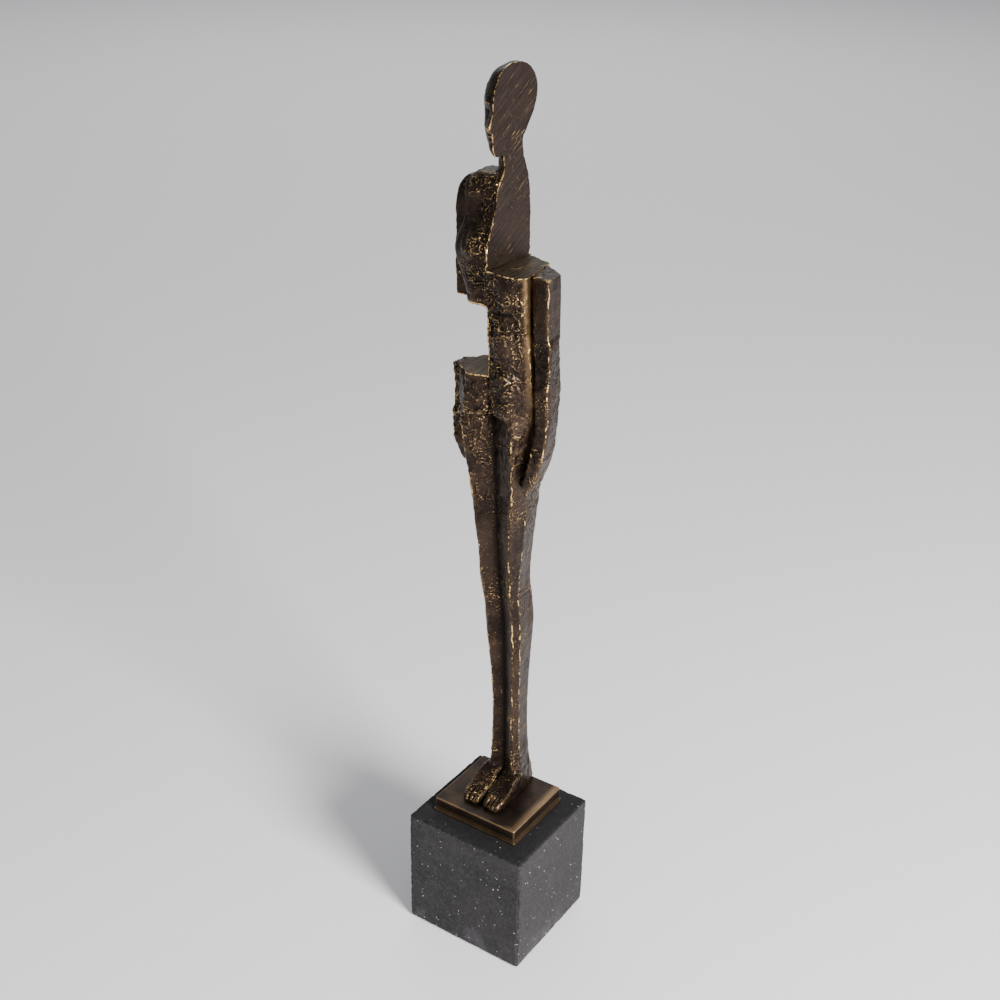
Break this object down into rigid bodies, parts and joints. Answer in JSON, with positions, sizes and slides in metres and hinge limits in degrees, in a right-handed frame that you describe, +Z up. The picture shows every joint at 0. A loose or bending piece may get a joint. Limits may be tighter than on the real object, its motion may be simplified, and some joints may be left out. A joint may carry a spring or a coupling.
{
  "type": "display plinth with sliced standing figure",
  "caption": "Square dark stone plinth block with a stepped bronze plate carrying a slender sliced standing bronze figure, studded through and clamped from below.",
  "frame": {"origin": "middle of the underside, on the surface that the felt pads rest on", "axes": "+Z up; the figure faces -Y and its left side is +X"},
  "size_m": [0.1, 0.0934, 0.645],
  "materials": {
    "figure_bronze": "cast bronze, dark brown patina with rubbed golden ridges",
    "plate_bronze": "satin dark bronze with rubbed edges",
    "sheet_brass": "worn golden edge",
    "stone": "honed dark grey basalt with small pale specks",
    "felt": "black wool felt",
    "steel": "zinc plated steel"
  },
  "bodies": {
    "root": {"bronze_plate": "plate_bronze", "felt_pads": "felt", "head_and_neck": "figure_bronze", "hips": "figure_bronze", "left_foot": "figure_bronze", "left_forearm_and_hand": "figure_bronze", "left_shin": "figure_bronze", "left_thigh": "figure_bronze", "left_upper_arm": "figure_bronze", "nuts": "steel", "plate_backing_sheet": "sheet_brass", "right_chest": "figure_bronze", "right_foot": "figure_bronze", "right_hand": "figure_bronze", "right_shin": "figure_bronze", "right_thigh": "figure_bronze", "right_upper_arm": "figure_bronze", "spring_washers": "steel", "stone_block": "stone", "studs": "steel", "waist_and_left_chest": "figure_bronze", "washers": "steel"}
  },
  "joints": []
}
